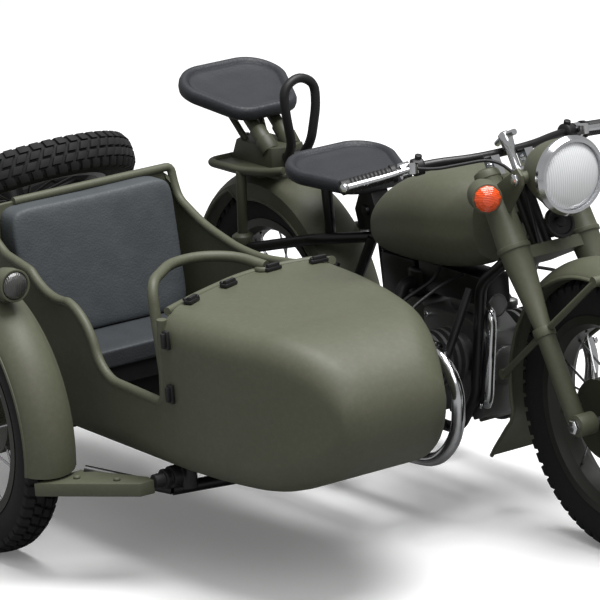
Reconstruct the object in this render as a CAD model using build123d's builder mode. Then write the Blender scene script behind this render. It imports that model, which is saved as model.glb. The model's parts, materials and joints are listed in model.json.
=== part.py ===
"""Sidecar motorcycle, a 1:10 scale model: flat-twin cradle frame, boat sidecar on the right.

Millimetres. Everything is drawn from the rear axle, x forward, y to the rider's left, z up
from the floor. At the end all pieces move together so that the origin is on the floor,
under the middle of the model.
"""

import os
from math import cos, radians, sin

from build123d import *

# ---------------------------------------------------------------- driving dimensions
wheel_base = 146.0
tyre_radius = 34.5
tyre_width = 10.0
rim_radius = 24.0            # seat of the tyre's bead
rim_width = 8.4
spokes_per_side = 10
spoke_radius = 0.32
hub_radius = 3.4
drum_radius = 10.0
running_gap = 0.05           # radial, shafts in holes
move_gap = 0.6               # between pieces that pass each other

rake = 28.5                  # steering axis from the vertical, degrees
axle_lead = 2.5              # front axle ahead of the fork legs
yoke_offset = 3.2            # fork legs ahead of the steering axis
fork_half = 10.4             # fork leg from the centre plane
leg_radius = 2.1
shroud_radius = 3.4
yoke_low = 44.0              # heights along the steering axis
yoke_top = 63.0
head_radius = 2.6
stem_radius = 1.3

tube_radius = 1.45
cradle_half = 7.5            # lower frame rails from the centre plane
cradle_z = 20.5
tank_bottom = 62.0
tank_top = 86.5
tank_half = 14.5

crank_x = 90.0
crank_z = 41.0
cylinder_reach = 31.0        # head face from the centre plane
barrel_radius = 7.2

saddle_z = 80.5
pillion_z = 93.5

track = 109.8                # sidecar wheel from the bike's centre plane
wheel_lead = 26.0            # sidecar wheel ahead of the rear axle
body_y = -63.0
body_half = 29.0
body_floor = 27.0
deck_z = 68.0
nose_x = 146.5
tail_x = -54.0
wall = 1.2
spare_tilt = 25.0
spare_x, spare_z = -33.0, 74.6
spare_seat = 9.0             # spare wheel's middle above the tail deck
back_x = 4.0                 # front face of the wall behind the seat

guard_gap = 4.3              # tyre tread to mudguard
guard_half = 7.0
guard_wall = 0.8

axle_z = tyre_radius

# ---------------------------------------------------------------- frames of reference
lean = radians(rake)
axle_reach = yoke_offset + axle_lead
steer_origin = Vector(wheel_base - axle_reach * cos(lean), 0, axle_z - axle_reach * sin(lean))
steer = Plane(origin=steer_origin, x_dir=(cos(lean), 0, sin(lean)), z_dir=(-sin(lean), 0, cos(lean)))

front_wheel_plane = Plane(origin=(wheel_base, 0, axle_z), x_dir=(1, 0, 0), z_dir=(0, 0, 1))
rear_wheel_plane = Plane(origin=(0, 0, axle_z), x_dir=(1, 0, 0), z_dir=(0, 0, 1))
side_wheel_plane = Plane(origin=(wheel_lead, -track, axle_z), x_dir=(1, 0, 0), z_dir=(0, 0, 1))
tilt = radians(spare_tilt)
spare_plane = Plane(origin=(spare_x, body_y, spare_z), x_dir=(cos(tilt), 0, sin(tilt)), z_dir=(0, -1, 0))

lamp_x, lamp_z, lamp_radius = 131.5, 91.7, 9.6
pieces = {}                  # node name: part, in the order they are made


def steered(x, y, z):
    """A point given across, left of and along the steering axis."""
    return steer.from_local_coords(Vector(x, y, z))


# ---------------------------------------------------------------- shared forms
def tube(points, bends, radius, bore=0.0):
    """A round tube along straight runs joined by arcs of the given radii."""
    with BuildPart() as run:
        with BuildLine() as path:
            if len(points) > 2:
                FilletPolyline(*points, radius=bends)
            else:
                Line(*points)
        with BuildSketch(Plane(origin=path.line @ 0, z_dir=path.line % 0)):
            Circle(radius)
            if bore:
                Circle(bore, mode=Mode.SUBTRACT)
        sweep()
    return run.part


def rod(start, end, radius, sides=0):
    """A straight round or many-sided bar between two points."""
    start, end = Vector(start), Vector(end)
    with BuildPart() as bar:
        with BuildSketch(Plane(origin=start, z_dir=end - start)):
            if sides:
                RegularPolygon(radius, sides)
            else:
                Circle(radius)
        extrude(amount=(end - start).length)
    return bar.part


def disc(plane, radius, low, high, bore=0.0):
    """A round plate on a plane's y axis, between two places along it."""
    with BuildPart() as plate:
        with BuildSketch(plane):
            with BuildLine():
                Polyline((bore, low), (radius, low), (radius, high), (bore, high), close=True)
            make_face()
        revolve(axis=Axis(plane.origin, plane.y_dir))
    return plate.part


def tyre(plane):
    """A tyre with rounded shoulders, its bead on the rim's seat."""
    half = tyre_width / 2
    bead = rim_radius + running_gap
    with BuildPart() as ring:
        with BuildSketch(plane):
            with BuildLine():
                Polyline((bead, 0.70 * half), (bead, -0.70 * half), (bead + 1.2, -0.78 * half))
                ThreePointArc(
                    (bead + 1.2, -0.78 * half),
                    (bead + 4.8, -half),
                    (tyre_radius - 1.8, -0.86 * half),
                )
                ThreePointArc(
                    (tyre_radius - 1.8, -0.86 * half),
                    (tyre_radius, 0),
                    (tyre_radius - 1.8, 0.86 * half),
                )
                ThreePointArc(
                    (tyre_radius - 1.8, 0.86 * half),
                    (bead + 4.8, half),
                    (bead + 1.2, 0.78 * half),
                )
                Line((bead + 1.2, 0.78 * half), (bead, 0.70 * half))
            make_face()
        revolve(axis=Axis(plane.origin, plane.y_dir))
    return ring.part


def wire_wheel(plane, drum_side, bore):
    """Rim, crossed spokes, hub and, on drum_side of the hub, a brake drum."""
    half = rim_width / 2
    lip, well = rim_radius + 1.3, rim_radius - 1.5
    bead_half = 0.70 * tyre_width / 2 + running_gap
    hub_half = 5.6
    with BuildPart() as wheel:
        with BuildSketch(plane):
            with BuildLine():
                Polyline(
                    (rim_radius, bead_half),
                    (lip, bead_half + 0.5),
                    (lip, half),
                    (rim_radius - 0.8, half),
                    (well - 0.7, 0.5 * half),
                    (well - 0.7, -0.5 * half),
                    (rim_radius - 0.8, -half),
                    (lip, -half),
                    (lip, -bead_half - 0.5),
                    (rim_radius, -bead_half),
                    (well, -0.45 * half),
                    (well, 0.45 * half),
                    close=True,
                )
            make_face()
        revolve(axis=Axis(plane.origin, plane.y_dir))
        add(disc(plane, hub_radius, -hub_half, hub_half, bore))
        for side in (1, -1):
            add(disc(plane, hub_radius + 1.2, side * 4.0 - 0.35, side * 4.0 + 0.35, bore))
            for i in range(spokes_per_side):
                lag = 42 if i % 2 else -42
                near = radians(360 / spokes_per_side * (i - i % 2) + lag + 9 * side)
                far = radians(360 / spokes_per_side * (i - 0.25 * side))
                r_near, r_far = hub_radius + 0.5, well - 0.35
                start = plane.from_local_coords(
                    Vector(r_near * cos(near), side * 4.0, r_near * sin(near))
                )
                end = plane.from_local_coords(
                    Vector(r_far * cos(far), side * 0.8, r_far * sin(far))
                )
                add(rod(start, end, spoke_radius, 6))
        if drum_side:
            add(disc(plane, drum_radius, min(drum_side * 2.6, drum_side * 5.6),
                     max(drum_side * 2.6, drum_side * 5.6), bore))
    return wheel.part


def mudguard(centre_x, centre_y, first, last, radius, half, edge):
    """A curved strip over a wheel: an arched section turned about the axle."""
    hub = Vector(centre_x, centre_y, axle_z)
    way = Plane(origin=hub, x_dir=(cos(radians(first)), 0, sin(radians(first))),
                z_dir=(sin(radians(first)), 0, -cos(radians(first))))
    with BuildPart() as guard:
        with BuildSketch(way):
            with BuildLine():
                outer = ThreePointArc((radius - edge, -half), (radius, 0), (radius - edge, half))
                inner = ThreePointArc(
                    (radius - edge, half - guard_wall),
                    (radius - guard_wall, 0),
                    (radius - edge, -half + guard_wall),
                )
                Line(outer @ 1, inner @ 0)
                Line(inner @ 1, outer @ 0)
            make_face()
        revolve(axis=Axis(hub, (0, -1, 0)), revolution_arc=last - first)
    return guard.part


# ---------------------------------------------------------------- wheels
axle_bore = 1.2
for name, plane, drum_side in (
    ("front", front_wheel_plane, -1),
    ("rear", rear_wheel_plane, 1),
    ("sidecar", side_wheel_plane, 1),
    ("spare", spare_plane, 0),
):
    pieces[f"{name}_tyre"] = tyre(plane)
    pieces[f"{name}_wheel"] = wire_wheel(plane, drum_side, axle_bore)

# ---------------------------------------------------------------- steering
axle_radius = axle_bore - running_gap
leg_x = yoke_offset

for name, side in (("left", 1), ("right", -1)):
    with BuildPart() as fork_leg:
        foot = steered(leg_x, side * fork_half, 0)
        for low, high, radius in (
            (-1.0, 26.0, leg_radius + 0.35),
            (25.0, yoke_low + 1.5, leg_radius + 0.9),
            (yoke_low + 1.5, yoke_top + 3.0, shroud_radius),
        ):
            add(rod(steered(leg_x, side * fork_half, low), steered(leg_x, side * fork_half, high), radius))
        add(rod(steered(leg_x, side * fork_half, 0), steered(axle_reach, side * fork_half, 0), leg_radius + 0.3))
        add(rod((wheel_base, side * (fork_half - 2.4), axle_z), (wheel_base, side * (fork_half + 2.4), axle_z), 2.6))
        with Locations((lamp_x - 10.5, side * (lamp_radius + 0.3), lamp_z)):
            Box(13, 0.9, 4.6)
        with Locations(Plane(origin=(wheel_base, 0, axle_z), z_dir=(0, side, 0))):
            Cylinder(axle_radius + running_gap, 2 * fork_half + 20, mode=Mode.SUBTRACT)
    pieces[f"fork_{name}"] = fork_leg.part

with BuildPart() as front_axle:
    add(rod((wheel_base, -fork_half - 3.2, axle_z), (wheel_base, fork_half + 3.2, axle_z), axle_radius))
pieces["front_axle"] = front_axle.part

with BuildPart() as yokes:
    for height, thick in ((yoke_low, 3.0), (yoke_top, 2.4)):
        with BuildSketch(Plane(origin=steered(0, 0, height - thick / 2), x_dir=steer.x_dir, z_dir=steer.z_dir)):
            with BuildLine():
                Polyline((-3.6, -3.0), (leg_x - 1.5, -fork_half + 2), (leg_x + 2.5, -fork_half + 2),
                         (leg_x + 2.5, fork_half - 2), (leg_x - 1.5, fork_half - 2), (-3.6, 3.0), close=True)
            make_face()
        extrude(amount=thick)
    add(rod(steered(0, 0, yoke_low), steered(0, 0, yoke_top + 2.6), stem_radius))
    for side in (1, -1):
        with Locations(steer.location * Location((leg_x, side * fork_half, 0))):
            Cylinder(shroud_radius + running_gap, 200, mode=Mode.SUBTRACT)
pieces["fork_yokes"] = yokes.part

bar_radius = 1.1
bar_x, bar_z = -0.5, yoke_top + 5.2
grip_tip = (-17.0, 41.0, yoke_top + 9.0)
with BuildPart() as handlebar:
    half_run = [(bar_x, 10, bar_z), (-1.5, 19, yoke_top + 9.5), (-9.0, 27, yoke_top + 10.0), grip_tip]
    whole_run = [(x, -y, z) for x, y, z in reversed(half_run)] + half_run
    add(tube([steered(*p) for p in whole_run], (4.5, 4, 4, 4, 4, 4.5), bar_radius))
pieces["handlebar"] = handlebar.part

for name, side in (("left", 1), ("right", -1)):
    root = steered(-9.0, side * 27.0, yoke_top + 10.0)
    tip = steered(grip_tip[0], side * grip_tip[1], grip_tip[2])
    along = (tip - root).normalized()
    with BuildPart() as grip:
        add(rod(root + along * 3.4, tip + along * 0.4, bar_radius + 0.75))
        add(rod(root, tip, bar_radius + running_gap), mode=Mode.SUBTRACT)
    pieces[f"grip_{name}"] = grip.part

with BuildPart() as bar_clamps:
    for side in (1, -1):
        with BuildSketch(Plane(origin=steered(0, side * 5.0 - 1.2, 0), x_dir=steer.x_dir, z_dir=(0, 1, 0))):
            with Locations((bar_x, -(yoke_top + 4.2))):
                Rectangle(3.8, 6.0 - 2 * running_gap)
            with Locations((bar_x, -bar_z)):
                Circle(bar_radius + running_gap, mode=Mode.SUBTRACT)
        extrude(amount=2.4)
pieces["bar_clamps"] = bar_clamps.part

guard_radius = tyre_radius + guard_gap
with BuildPart() as front_mudguard:
    add(mudguard(wheel_base, 0, 28, 196, guard_radius, guard_half, 3.4))
pieces["front_mudguard"] = front_mudguard.part

lamp_face = Plane(origin=(lamp_x, 0, lamp_z), x_dir=(1, 0, 0), z_dir=(0, 0, 1))
lamp_axis = Axis((0, 0, lamp_z), (1, 0, 0))
with BuildPart() as headlamp_shell:
    with BuildSketch(lamp_face):
        with BuildLine():
            Polyline((-13.0, 0), (0, 0))
            Line((0, 0), (0, lamp_radius - 0.5))
            Spline((0, lamp_radius - 0.5), (-8.6, 6.6), (-13.0, 0), tangents=((-1, -0.15), (0, -1)))
        make_face()
    revolve(axis=lamp_axis)
    with Locations(Plane(origin=(lamp_x - 6.0, 0, lamp_z), z_dir=(0, 1, 0))):
        Cylinder(1.5, 2 * (lamp_radius + 0.3 - 0.45 - 0.02))
pieces["headlamp_shell"] = headlamp_shell.part

with BuildPart() as headlamp_rim:
    with BuildSketch(lamp_face):
        with BuildLine():
            Polyline((0.05, lamp_radius - 1.3), (0.05, lamp_radius), (1.4, lamp_radius + 0.2),
                     (2.6, lamp_radius - 0.6), (2.6, lamp_radius - 1.3), close=True)
        make_face()
    revolve(axis=lamp_axis)
pieces["headlamp_rim"] = headlamp_rim.part

with BuildPart() as headlamp_lens:
    with BuildSketch(lamp_face):
        with BuildLine():
            Polyline((0.3, 0), (0.3, lamp_radius - 1.35), (1.5, lamp_radius - 1.35))
            Spline((1.5, lamp_radius - 1.35), (3.2, 4.6), (3.8, 0), tangents=((0.5, -0.5), (0, -1)))
            Line((3.8, 0), (0.3, 0))
        make_face()
    revolve(axis=lamp_axis)
pieces["headlamp_lens"] = headlamp_lens.part

# ---------------------------------------------------------------- frame and engine
head_low, head_high = yoke_low + 1.5 + move_gap / 2, yoke_top - 1.2 - move_gap / 2
head_mid = (head_low + head_high) / 2
rear_half = 12.5
cluster = (46.0, 0, 62.0)
with BuildPart() as main_frame:
    add(rod(steered(0, 0, head_low), steered(0, 0, head_high), head_radius))
    add(tube([steered(0, 0, head_mid + 1), (96, 0, 70.5), cluster], 14, tube_radius + 0.2))
    for side in (1, -1):
        add(tube([steered(0, side * 1.0, head_low + 3), (102.5, side * cradle_half, 61), (96.5, side * cradle_half, 31),
                  (88.0, side * cradle_half, cradle_z), (30.0, side * cradle_half, cradle_z),
                  (4.0, side * rear_half, cradle_z)], (8, 12, 9, 14), tube_radius))
        add(tube([cluster, (30.0, side * 9.0, 60.5), (2.0, side * rear_half, 54.0)], 12, tube_radius))
        add(tube([(cluster[0], side * 1.5, cluster[2]), (38.0, side * cradle_half, 40), (36.0, side * cradle_half, cradle_z)],
                 14, tube_radius))
        add(rod((0, side * rear_half, cradle_z - 2.0), (0, side * rear_half, 56.0), 2.7))
        with Locations(Plane(origin=(0, 0, axle_z), z_dir=(0, side, 0))):
            Cylinder(axle_radius + running_gap, 2 * rear_half + 20, mode=Mode.SUBTRACT)
    with Locations(steer.location):
        Cylinder(stem_radius + running_gap, 200, mode=Mode.SUBTRACT)
pieces["main_frame"] = main_frame.part

with BuildPart() as fuel_tank:
    for x, low, high, half in ((50.5, 63.0, 69.0, 4.0), (60.0, tank_bottom, 76.5, 10.5), (76.0, tank_bottom, 84.5, tank_half),
                               (92.0, tank_bottom + 1, tank_top + 0.5, tank_half - 0.5), (103.0, 66.0, 85.0, 9.0)):
        with BuildSketch(Plane(origin=(x, 0, (low + high) / 2), x_dir=(0, 1, 0), z_dir=(1, 0, 0))):
            RectangleRounded(2 * half, high - low, min(half, (high - low) / 2) * 0.86)
    loft()
    add(tube([steered(0, 0, head_mid + 1), (96, 0, 70.5), cluster, (cluster[0] - 20, 0, cluster[2])], (14, 1), tube_radius + 0.6),
        mode=Mode.SUBTRACT)
    with Locations((75, 0, tank_bottom)):
        Box(70, 2 * tube_radius + 1.2, 16, mode=Mode.SUBTRACT)
pieces["fuel_tank"] = fuel_tank.part

with BuildPart() as engine_case:
    with BuildSketch(Plane.XZ):
        with BuildLine():
            Polyline((54, 30), (60, 25), (97, 24), (100, 30), (100, 50), (94, 57), (80, 57), (74, 52), (54, 50), close=True)
        make_face()
    extrude(amount=cradle_half - tube_radius - 0.4, both=True)
pieces["engine_case"] = engine_case.part

for name, side in (("left", 1), ("right", -1)):
    inner = cradle_half - tube_radius - 0.3
    barrel_plane = Plane(origin=(crank_x, 0, crank_z), x_dir=(0, side, 0), z_dir=(0, 0, 1))
    with BuildPart() as cylinder:
        with BuildSketch(barrel_plane):
            with BuildLine():
                Polyline((inner, 0), (inner, barrel_radius - 2.4), (cylinder_reach, barrel_radius - 2.4), (cylinder_reach, 0), close=True)
            make_face()
            for i in range(9):
                with Locations((inner + 4.0 + 2.2 * i, barrel_radius / 2)):
                    Rectangle(0.9, barrel_radius)
        revolve(axis=Axis((crank_x, 0, crank_z), (0, 1, 0)))
    pieces[f"cylinder_{name}"] = cylinder.part

for name, side in (("left", 1), ("right", -1)):
    with BuildPart() as exhaust:
        add(tube([(crank_x + barrel_radius + 0.1, side * 24.0, crank_z), (106.5, side * 23.5, crank_z - 1), (105.5, side * 21.5, 28),
                  (97.0, side * 20.0, 17.5), (84.0, side * 20.0, 15.5), (52.0, side * 20.0, 15.5)], (6, 8, 10, 14), 1.6))
        add(rod((54.0, side * 20.0, 15.5), (8.0, side * 20.0, 15.5), 3.0))
    pieces[f"exhaust_{name}"] = exhaust.part

# ---------------------------------------------------------------- seats
for name, x, z, front, rear in (("front_saddle", 34.0, saddle_z, 27.0, 19.0), ("rear_saddle", -17.5, pillion_z, 20.5, 19.0)):
    with BuildPart() as saddle:
        with BuildSketch(Plane.XY.offset(z)):
            with BuildLine():
                Spline((x - rear, 0), (x - rear * 0.72, 10.5), (x - 2, 12.5), (x + front * 0.62, 6.0), (x + front, 0),
                       tangents=((0, 1), (0, -1)))
                mirror(about=Plane.XZ)
            make_face()
        extrude(amount=3.2)
    pieces[name] = saddle.part

with BuildPart() as saddle_bracket:
    add(tube([(46.0, 0, 63.9), (47.5, 0, 72.0), (50.0, 0, saddle_z - 0.35)], 8, 1.0))
    for side in (1, -1):
        add(rod((24.0, side * 10.0, 61.4), (24.0, side * 9.0, saddle_z - 0.2), 1.8))
pieces["saddle_bracket"] = saddle_bracket.part

with BuildPart() as pillion_bracket:
    for side in (1, -1):
        outside = guard_half + 1.1 + running_gap
        add(tube([(1.0, side * rear_half, 56.3), (0.0, side * outside, 66.0), (-1.0, side * outside, 78.0),
                  (-6.0, side * 6.0, pillion_z - 1.1)], 6, 1.1))
        add(rod((-6.0, side * 6.0, pillion_z - 1.1), (-30.0, side * 6.0, pillion_z - 1.1), 1.0))
    add(rod((-6.0, -6.0, pillion_z - 1.1), (-6.0, 6.0, pillion_z - 1.1), 1.0))
pieces["pillion_bracket"] = pillion_bracket.part

with BuildPart() as rear_mudguard:
    add(mudguard(0, 0, 18, 190, guard_radius, guard_half, 3.4))
pieces["rear_mudguard"] = rear_mudguard.part

with BuildPart() as front_axle_rear:
    add(rod((0, -rear_half - 3.4, axle_z), (0, rear_half + 3.4, axle_z), axle_radius))
pieces["rear_axle"] = front_axle_rear.part

# ---------------------------------------------------------------- sidecar
def tail_deck(x, inset=0.0):
    """Height of the sloping tail deck, which lies parallel to the spare wheel."""
    seat_x = spare_x + (spare_seat + inset) * sin(tilt)
    return spare_z - (spare_seat + inset) * cos(tilt) + (x - seat_x) * sin(tilt) / cos(tilt)


def body_form(inset):
    """The boat, its skin moved in by inset: side outline crossed with plan outline."""
    floor, deck, nose, tail = body_floor + inset, deck_z - inset, nose_x - inset, tail_x + inset
    half, part_way = body_half - inset, 0.7 * inset
    with BuildPart() as form:
        with BuildSketch(Plane.XZ.offset(-body_y)):
            with BuildLine():
                Line((-44, floor), (124, floor))
                ThreePointArc((124, floor), (141.5 - part_way, 33.5 + part_way), (nose, 48.0))
                ThreePointArc((nose, 48.0), (139.5 - part_way, 61.5 - part_way), (120, deck - 1.5))
                Polyline((120, deck - 1.5), (62, deck + 1.0), (28, deck + 2.5), (back_x, tail_deck(back_x, inset)),
                         (-48 + inset, tail_deck(-48 + inset, inset)))
                ThreePointArc((-48 + inset, tail_deck(-48 + inset, inset)), (tail, 50), (tail, 40))
                ThreePointArc((tail, 40), (-51 + part_way, 31 + part_way), (-44, floor))
            make_face()
        extrude(amount=body_half + 10, both=True)
        with BuildSketch(Plane.XY):
            with BuildLine():
                ThreePointArc((tail_x - 1, body_y - 20 + inset), (-40, body_y - 26.5 + inset), (-18, body_y - half))
                Line((-18, body_y - half), (84, body_y - half))
                ThreePointArc((84, body_y - half), (118, body_y - 25.0 + inset), (nose_x + 1, body_y - 13.0 + inset))
                mirror(about=Plane.XZ.offset(-body_y))
                Line((tail_x - 1, body_y - 20 + inset), (tail_x - 1, body_y + 20 - inset))
                Line((nose_x + 1, body_y - 13 + inset), (nose_x + 1, body_y + 13 - inset))
            make_face()
        extrude(amount=120, mode=Mode.INTERSECT)
    return form.part


with BuildPart() as bulkhead:
    add(body_form(wall / 2))
    with Locations((back_x - wall / 2, body_y, 60)):
        Box(wall, 80, 120, mode=Mode.INTERSECT)

with BuildPart() as sidecar_body:
    add(body_form(0))
    add(body_form(wall), mode=Mode.SUBTRACT)
    add(bulkhead.part)
    with BuildSketch(Plane.XY.offset(50)):
        with BuildLine():
            Polyline((back_x, body_y - body_half + wall), (85, body_y - body_half + wall), (61, body_y + body_half - wall),
                     (back_x, body_y + body_half - wall), close=True)
        make_face()
    extrude(amount=60, mode=Mode.SUBTRACT)
    with BuildSketch(Plane.XZ.offset(-body_y)):
        with BuildLine():
            Line((30, 100), (44, 64))
            ThreePointArc((44, 64), (53, 58), (57.0, 51.5))
            ThreePointArc((57.0, 51.5), (60.0, 47.5), (65.0, 46.5))
            Polyline((65.0, 46.5), (86, 46), (86, 100), (30, 100))
        make_face()
    extrude(amount=body_half + 10, mode=Mode.SUBTRACT)
pieces["sidecar_body"] = sidecar_body.part

with BuildPart() as seat_back:
    with BuildSketch(Plane.XZ.offset(-body_y)):
        with BuildLine():
            Polyline((back_x + 0.3, 46.1), (14.0, 46.1), (10.0, 80.5), (back_x + 0.3, 80.5), close=True)
        make_face()
    extrude(amount=body_half - 5.0, both=True)
    fillet(seat_back.edges(), 1.6)
pieces["seat_back"] = seat_back.part

with BuildPart() as seat_cushion:
    with Locations((back_x + 0.3 + 15, body_y, 41.5)):
        Box(30, 2 * body_half - 10, 8.5)
    fillet(seat_cushion.edges(), 1.8)
pieces["seat_cushion"] = seat_cushion.part

with BuildPart() as seat_base:
    with Locations((back_x + 0.3 + 13.5, body_y, body_floor + wall + 0.02)):
        Box(27, 2 * body_half - 14, 41.5 - 4.25 - body_floor - wall - 0.04, align=(Align.CENTER, Align.CENTER, Align.MIN))
pieces["seat_base"] = seat_base.part

with BuildPart() as spare_mount:
    add(disc(spare_plane, 5.0, -spare_seat, -5.6 - 0.02))
    add(disc(spare_plane, axle_radius, -spare_seat, 7.4))
    add(disc(spare_plane, 3.0, 5.6 + 0.05, 7.4))
pieces["spare_mount"] = spare_mount.part

with BuildPart() as cockpit_hoop:
    add(tube([(85, body_y - 26.5, 43.5), (80, body_y - 26.5, 73.5), (72.5, body_y - 8, 76.5), (66, body_y + 15, 75.5),
              (67, body_y + 19.5, deck_z + 1.4)], (6, 20, 5), 1.1))
pieces["cockpit_hoop"] = cockpit_hoop.part

with BuildPart() as sidecar_frame:
    rail_y, side_y, side_z = -31.5, -97.0, 21.5
    add(tube([(-4, rail_y, side_z), (100, rail_y, side_z), (84, -62, side_z), (78, -86, side_z)], (10, 30), 1.6))
    add(tube([(-4, rail_y, side_z), (8, -60, side_z), (8, side_y, side_z), (26, side_y, axle_z)], (14, 8), 1.6))
    for x in (84, 32):
        add(rod((x, rail_y, side_z), (x, -cradle_half - tube_radius - 0.1, side_z), 1.3))
    for x, y in ((84, -60), (79.5, -82), (3, -47), (8, -85)):
        add(rod((x, y, side_z), (x, y, body_floor - 0.02), 2.2))
    for start, end in (((101, -cradle_half - 2.4, 60), (101, rail_y + 1, side_z)), ((40, -cradle_half - 1.7, 56), (40, rail_y, side_z))):
        add(rod(start, end, 1.1))
    add(rod((78, -86, side_z), (62.6, -track + guard_half + 1.6, 26.5), 1.4))
    add(rod((8, -97, side_z), (-12.5, -track + guard_half + 0.8, 34.0), 0.9))
    add(rod((wheel_lead, side_y - 1, axle_z), (wheel_lead, -track - 6.5, axle_z), axle_radius))
pieces["sidecar_frame"] = sidecar_frame.part

with BuildPart() as sidecar_mudguard:
    add(mudguard(wheel_lead, -track, -12, 196, guard_radius + 1.0, guard_half, 4.0))
pieces["sidecar_mudguard"] = sidecar_mudguard.part

# ---------------------------------------------------------------- origin and files
os.makedirs("parts", exist_ok=True)
boxes = [part.bounding_box() for part in pieces.values()]
low_x, high_x = min(b.min.X for b in boxes), max(b.max.X for b in boxes)
low_y, high_y = min(b.min.Y for b in boxes), max(b.max.Y for b in boxes)
middle = Location((-(low_x + high_x) / 2, -(low_y + high_y) / 2, 0))
print("rear axle is at", middle.position)
for name, part in pieces.items():
    part.move(middle)
    part.label = name
    export_step(part, f"parts/{name}.step")
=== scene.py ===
# Sidecar outfit, a 1:10 model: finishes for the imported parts, and the pieces that go round them
import json
import math

import bmesh
import bpy
import numpy as np
from mathutils import Matrix, Vector


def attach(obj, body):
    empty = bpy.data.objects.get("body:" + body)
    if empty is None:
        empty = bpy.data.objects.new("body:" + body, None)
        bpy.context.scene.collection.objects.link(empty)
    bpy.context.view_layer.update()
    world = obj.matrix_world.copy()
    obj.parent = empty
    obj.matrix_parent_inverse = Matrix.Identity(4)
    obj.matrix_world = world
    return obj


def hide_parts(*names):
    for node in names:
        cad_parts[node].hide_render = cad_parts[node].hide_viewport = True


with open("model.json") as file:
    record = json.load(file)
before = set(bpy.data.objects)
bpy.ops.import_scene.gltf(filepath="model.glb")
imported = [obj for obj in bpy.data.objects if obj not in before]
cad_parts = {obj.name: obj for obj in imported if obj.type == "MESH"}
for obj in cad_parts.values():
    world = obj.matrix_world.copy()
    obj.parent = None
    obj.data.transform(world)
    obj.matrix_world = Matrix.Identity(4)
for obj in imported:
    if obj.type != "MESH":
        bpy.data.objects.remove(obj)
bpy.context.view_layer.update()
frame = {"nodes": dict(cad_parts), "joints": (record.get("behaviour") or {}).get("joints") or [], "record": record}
nodes = frame["nodes"]
mm = 0.001


# one class for shader maths, one for a material

class Wire:
    # a socket in a node tree; arithmetic on it adds Math nodes
    def __init__(self, finish, socket):
        self.finish = finish
        self.socket = socket

    def maths(self, operation, other, swap=False):
        pair = (other, self) if swap else (self, other)
        return self.finish.add("ShaderNodeMath", {"operation": operation}, dict(enumerate(pair)))

    def __add__(self, other):
        return self.maths("ADD", other)

    def __sub__(self, other):
        return self.maths("SUBTRACT", other)

    def __rsub__(self, other):
        return self.maths("SUBTRACT", other, True)

    def __mul__(self, other):
        return self.maths("MULTIPLY", other)

    def __pow__(self, other):
        return self.maths("POWER", other)

    __radd__ = __add__
    __rmul__ = __mul__


class Finish:
    # a material on a Principled shader; fixed values go straight onto its sockets
    def __init__(self, name, **fixed):
        self.material = bpy.data.materials.new(name)
        self.material.use_nodes = True
        self.tree = self.material.node_tree
        self.shader = self.tree.nodes["Principled BSDF"]
        for key, value in fixed.items():
            self.shader.inputs[key.replace("_", " ")].default_value = value
        self.place = self.add("ShaderNodeTexCoord", out="Object")

    def add(self, kind, settings=None, sockets=None, out=0):
        node = self.tree.nodes.new(kind)
        for key, value in (settings or {}).items():
            setattr(node, key, value)
        for key, value in (sockets or {}).items():
            if isinstance(value, Wire):
                self.tree.links.new(value.socket, node.inputs[key])
            else:
                node.inputs[key].default_value = value
        return Wire(self, node.outputs[out])

    def feed(self, key, wire):
        self.tree.links.new(wire.socket, self.shader.inputs[key])

    def mix(self, factor, low, high):
        # a colour between two colours, by a factor from 0 to 1
        return self.add("ShaderNodeMix", {"data_type": "RGBA"}, {0: factor, 6: low, 7: high}, 2)

    def noise(self, size, detail=3.0, rough=0.5):
        # soft random values about features of that size in metres
        return self.add("ShaderNodeTexNoise", None,
                        {"Vector": self.place, "Scale": 1 / size, "Detail": detail, "Roughness": rough})

    def bump(self, height, depth, strength=1.0):
        # depth in metres for a height from 0 to 1
        return self.add("ShaderNodeBump", None,
                        {"Height": height, "Distance": depth, "Strength": strength})


def colour(red, green, blue):
    # a screen colour from 0 to 255 as the linear colour a shader wants
    ratio = np.array([red, green, blue]) / 255
    linear = np.where(ratio < 0.04045, ratio / 12.92, ((ratio + 0.055) / 1.055) ** 2.4)
    return (*(float(v) for v in linear), 1.0)


# camera, floor and light

camera = {
    "at": (981.93, -606.72, 344.87),  # mm from the rear axle's point on the floor
    "yaw": 148.14,
    "pitch": 14.96,
    "roll": -4.81,
    "lens": 4475.5 / 600 * 36,  # focal length over the picture's width, 36 mm film
}
joints = {j["name"]: j for j in frame["joints"]}
axleLine = np.array([*joints["rear_wheel_spin"]["pos_m"][:2], 0.0])


def makeCamera():
    yaw, pitch, roll = (math.radians(camera[k]) for k in ("yaw", "pitch", "roll"))
    ahead = Vector((math.cos(pitch) * math.cos(yaw), math.cos(pitch) * math.sin(yaw), -math.sin(pitch)))
    flat = Vector((math.sin(yaw), -math.cos(yaw), 0))
    over = flat.cross(ahead)
    right = flat * math.cos(roll) + over * math.sin(roll)
    up = over * math.cos(roll) - flat * math.sin(roll)
    data = bpy.data.cameras.new("camera")
    data.lens, data.sensor_width, data.clip_start = camera["lens"], 36, 0.01
    eye = bpy.data.objects.new("camera", data)
    turn = Matrix((right, up, -ahead)).transposed().to_4x4()
    eye.matrix_world = Matrix.Translation(Vector(axleLine) + Vector(camera["at"]) * mm) @ turn
    bpy.context.scene.collection.objects.link(eye)
    bpy.context.scene.camera = eye


studio = {
    "floorHalf": 0.9,  # m
    "floorTint": (250, 250, 250),  # as the camera sees it
    "floorBounce": (135, 135, 135),  # as it lights the model
    "floorLift": 0.12,  # white added to what the camera sees
    "roomLight": 0.34,
    "key": {"at": (0.22, 0.15, 1.1), "towards": (0, 0, 0), "size": 0.9, "power": 18.5},
    "fill": {"at": (1.0, -0.3, 0.95), "towards": (0, 0, 0.04), "size": 0.8, "power": 3.4},
}


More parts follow.
